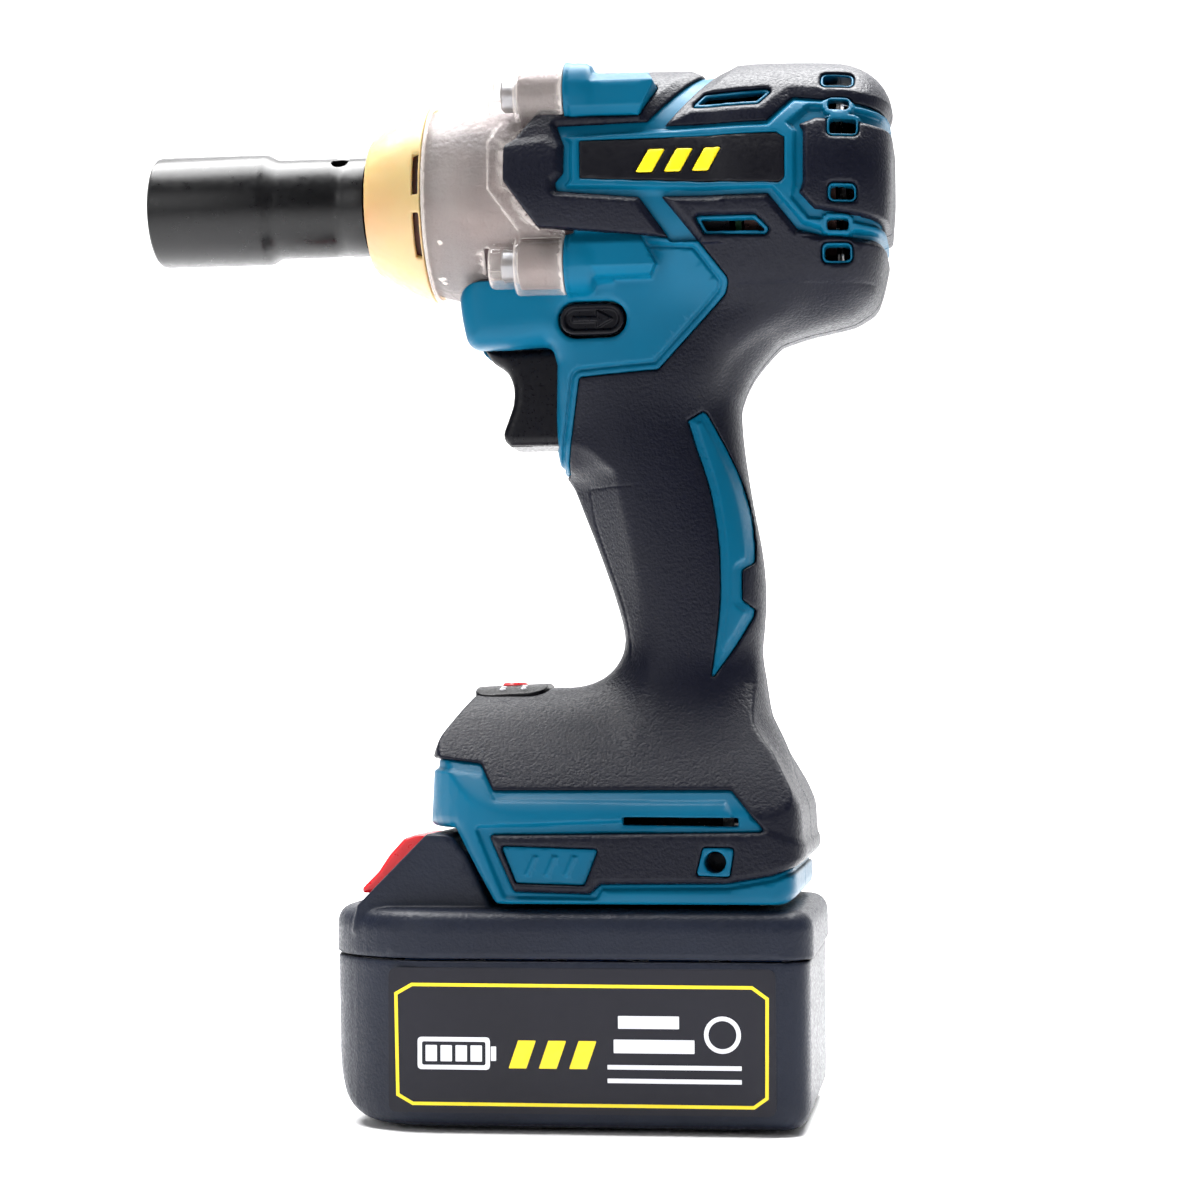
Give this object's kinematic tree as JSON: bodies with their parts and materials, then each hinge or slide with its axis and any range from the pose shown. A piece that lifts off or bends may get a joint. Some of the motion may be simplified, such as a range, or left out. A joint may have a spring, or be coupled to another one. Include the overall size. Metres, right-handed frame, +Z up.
{
  "type": "impact wrench",
  "caption": "Cordless pistol-grip impact wrench with a hexagon socket on its square drive, a clear-covered hammer case, a trigger and a slide-on battery in its foot.",
  "frame": {"origin": "centre of the battery's flat base", "axes": "+Z up; -X from the head towards the socket; -Y the tool's left side"},
  "size_m": [0.1778, 0.076, 0.2457],
  "materials": {
    "teal_plastic": "fine satin",
    "overmould": "fine-grained matt rubber",
    "black_plastic": "satin",
    "battery_plastic": "satin",
    "label": "satin print film",
    "clear_plastic": "clear polycarbonate",
    "bumper": "milky translucent rubber",
    "cast_aluminium": "cast",
    "black_steel": "black oxide",
    "steel": "ground",
    "bronze": "sintered",
    "motor_winding": "laminations with copper wire",
    "circuit_board": "solder resist",
    "cell_wrap": "shrink wrap over steel cans",
    "red_plastic": "satin"
  },
  "bodies": {
    "housing": {"housing_left": "teal_plastic", "housing_right": "teal_plastic", "overmould_left": "overmould", "overmould_right": "overmould", "label_plate_left": "label", "label_plate_right": "label", "housing_screw_1": "black_steel", "housing_screw_2": "black_steel", "housing_screw_3": "black_steel", "housing_screw_4": "black_steel", "housing_screw_5": "black_steel", "housing_screw_6": "black_steel", "case_screw_1": "steel", "case_screw_2": "steel", "case_screw_3": "steel", "case_screw_4": "steel", "hammer_case": "cast_aluminium", "hammer_case_cover": "clear_plastic", "nose_ring": "bumper", "anvil_bushing": "bronze", "ring_gear": "steel", "gear_case": "black_plastic", "stator": "motor_winding", "front_bearing": "steel", "rear_bearing": "steel", "motor_board": "circuit_board", "switch_body": "black_plastic", "work_light": "clear_plastic", "controller_board": "circuit_board", "mode_panel": "black_plastic", "terminal_block": "black_plastic"},
    "anvil": {"anvil": "steel", "socket_retaining_ring": "black_steel"},
    "socket": {"socket": "black_steel"},
    "spindle": {"spindle": "steel", "cam_ball_1": "steel", "cam_ball_2": "steel", "planet_pin_1": "steel", "planet_pin_2": "steel", "planet_pin_3": "steel", "hammer_spring": "steel"},
    "hammer": {"hammer": "black_steel"},
    "planet_1": {"planet_gear_1": "steel"},
    "planet_2": {"planet_gear_2": "steel"},
    "planet_3": {"planet_gear_3": "steel"},
    "rotor": {"rotor": "steel", "motor_fan": "black_plastic"},
    "trigger": {"trigger": "black_plastic"},
    "direction_lever": {"direction_lever": "black_plastic"},
    "switch_toggle": {"switch_toggle": "black_plastic"},
    "mode_button": {"mode_button": "red_plastic"},
    "battery": {"battery_case_lower": "battery_plastic", "battery_case_upper": "battery_plastic", "cell_pack": "cell_wrap", "battery_board": "circuit_board", "release_spring": "steel"},
    "release_button": {"release_button": "red_plastic"}
  },
  "joints": [
    {"name": "anvil_spin", "type": "hinge", "parent": "housing", "child": "anvil", "pos_m": [-0.035, 0, 0.2153], "axis": [1, 0, 0], "continuous": true},
    {"name": "socket_pull", "type": "slide", "parent": "anvil", "child": "socket", "axis": [-1, 0, 0], "range_m": [0, 0.03]},
    {"name": "spindle_spin", "type": "hinge", "parent": "housing", "child": "spindle", "pos_m": [0.01, 0, 0.2153], "axis": [1, 0, 0], "continuous": true},
    {"name": "hammer_slide", "type": "slide", "parent": "spindle", "child": "hammer", "axis": [1, 0, 0], "range_m": [0, 0.008], "stiffness_N_per_m": 6000, "springref_m": -0.003, "deforming": ["hammer_spring"]},
    {"name": "planet_1_spin", "type": "hinge", "parent": "spindle", "child": "planet_1", "pos_m": [0.0276, 0, 0.2273], "axis": [1, 0, 0], "continuous": true},
    {"name": "planet_2_spin", "type": "hinge", "parent": "spindle", "child": "planet_2", "pos_m": [0.0276, -0.01039, 0.2093], "axis": [1, 0, 0], "continuous": true},
    {"name": "planet_3_spin", "type": "hinge", "parent": "spindle", "child": "planet_3", "pos_m": [0.0276, 0.01039, 0.2093], "axis": [1, 0, 0], "continuous": true},
    {"name": "rotor_spin", "type": "hinge", "parent": "housing", "child": "rotor", "pos_m": [0.054, 0, 0.2153], "axis": [1, 0, 0], "continuous": true},
    {"name": "trigger_pull", "type": "slide", "parent": "housing", "child": "trigger", "axis": [1, 0, 0], "range_m": [0, 0.007], "stiffness_N_per_m": 600, "springref_m": -0.004},
    {"name": "direction_slide", "type": "slide", "parent": "housing", "child": "direction_lever", "axis": [0, 1, 0], "range_m": [-0.0025, 0.0025]},
    {"name": "toggle_turn", "type": "hinge", "parent": "housing", "child": "switch_toggle", "pos_m": [0.02, 0, 0.182], "axis": [0, 0, 1], "range_deg": [-13, 13]},
    {"name": "mode_button_press", "type": "slide", "parent": "housing", "child": "mode_button", "axis": [0, 0, -1], "range_m": [0, 0.0008], "stiffness_N_per_m": 800, "springref_m": -0.0004},
    {"name": "battery_slide", "type": "slide", "parent": "housing", "child": "battery", "axis": [-1, 0, 0], "range_m": [0, 0.09]},
    {"name": "release_press", "type": "slide", "parent": "battery", "child": "release_button", "axis": [0, 0, -1], "range_m": [0, 0.004], "stiffness_N_per_m": 900, "springref_m": -0.002, "deforming": ["release_spring"]}
  ],
  "couplings": [
    {"joint": "spindle_spin", "follows": "anvil_spin", "ratio": 1},
    {"joint": "planet_1_spin", "follows": "anvil_spin", "ratio": -2.6},
    {"joint": "planet_2_spin", "follows": "anvil_spin", "ratio": -2.6},
    {"joint": "planet_3_spin", "follows": "anvil_spin", "ratio": -2.6},
    {"joint": "rotor_spin", "follows": "anvil_spin", "ratio": 5.3333},
    {"joint": "toggle_turn", "follows": "direction_slide", "rad_per_m": -86.957}
  ]
}
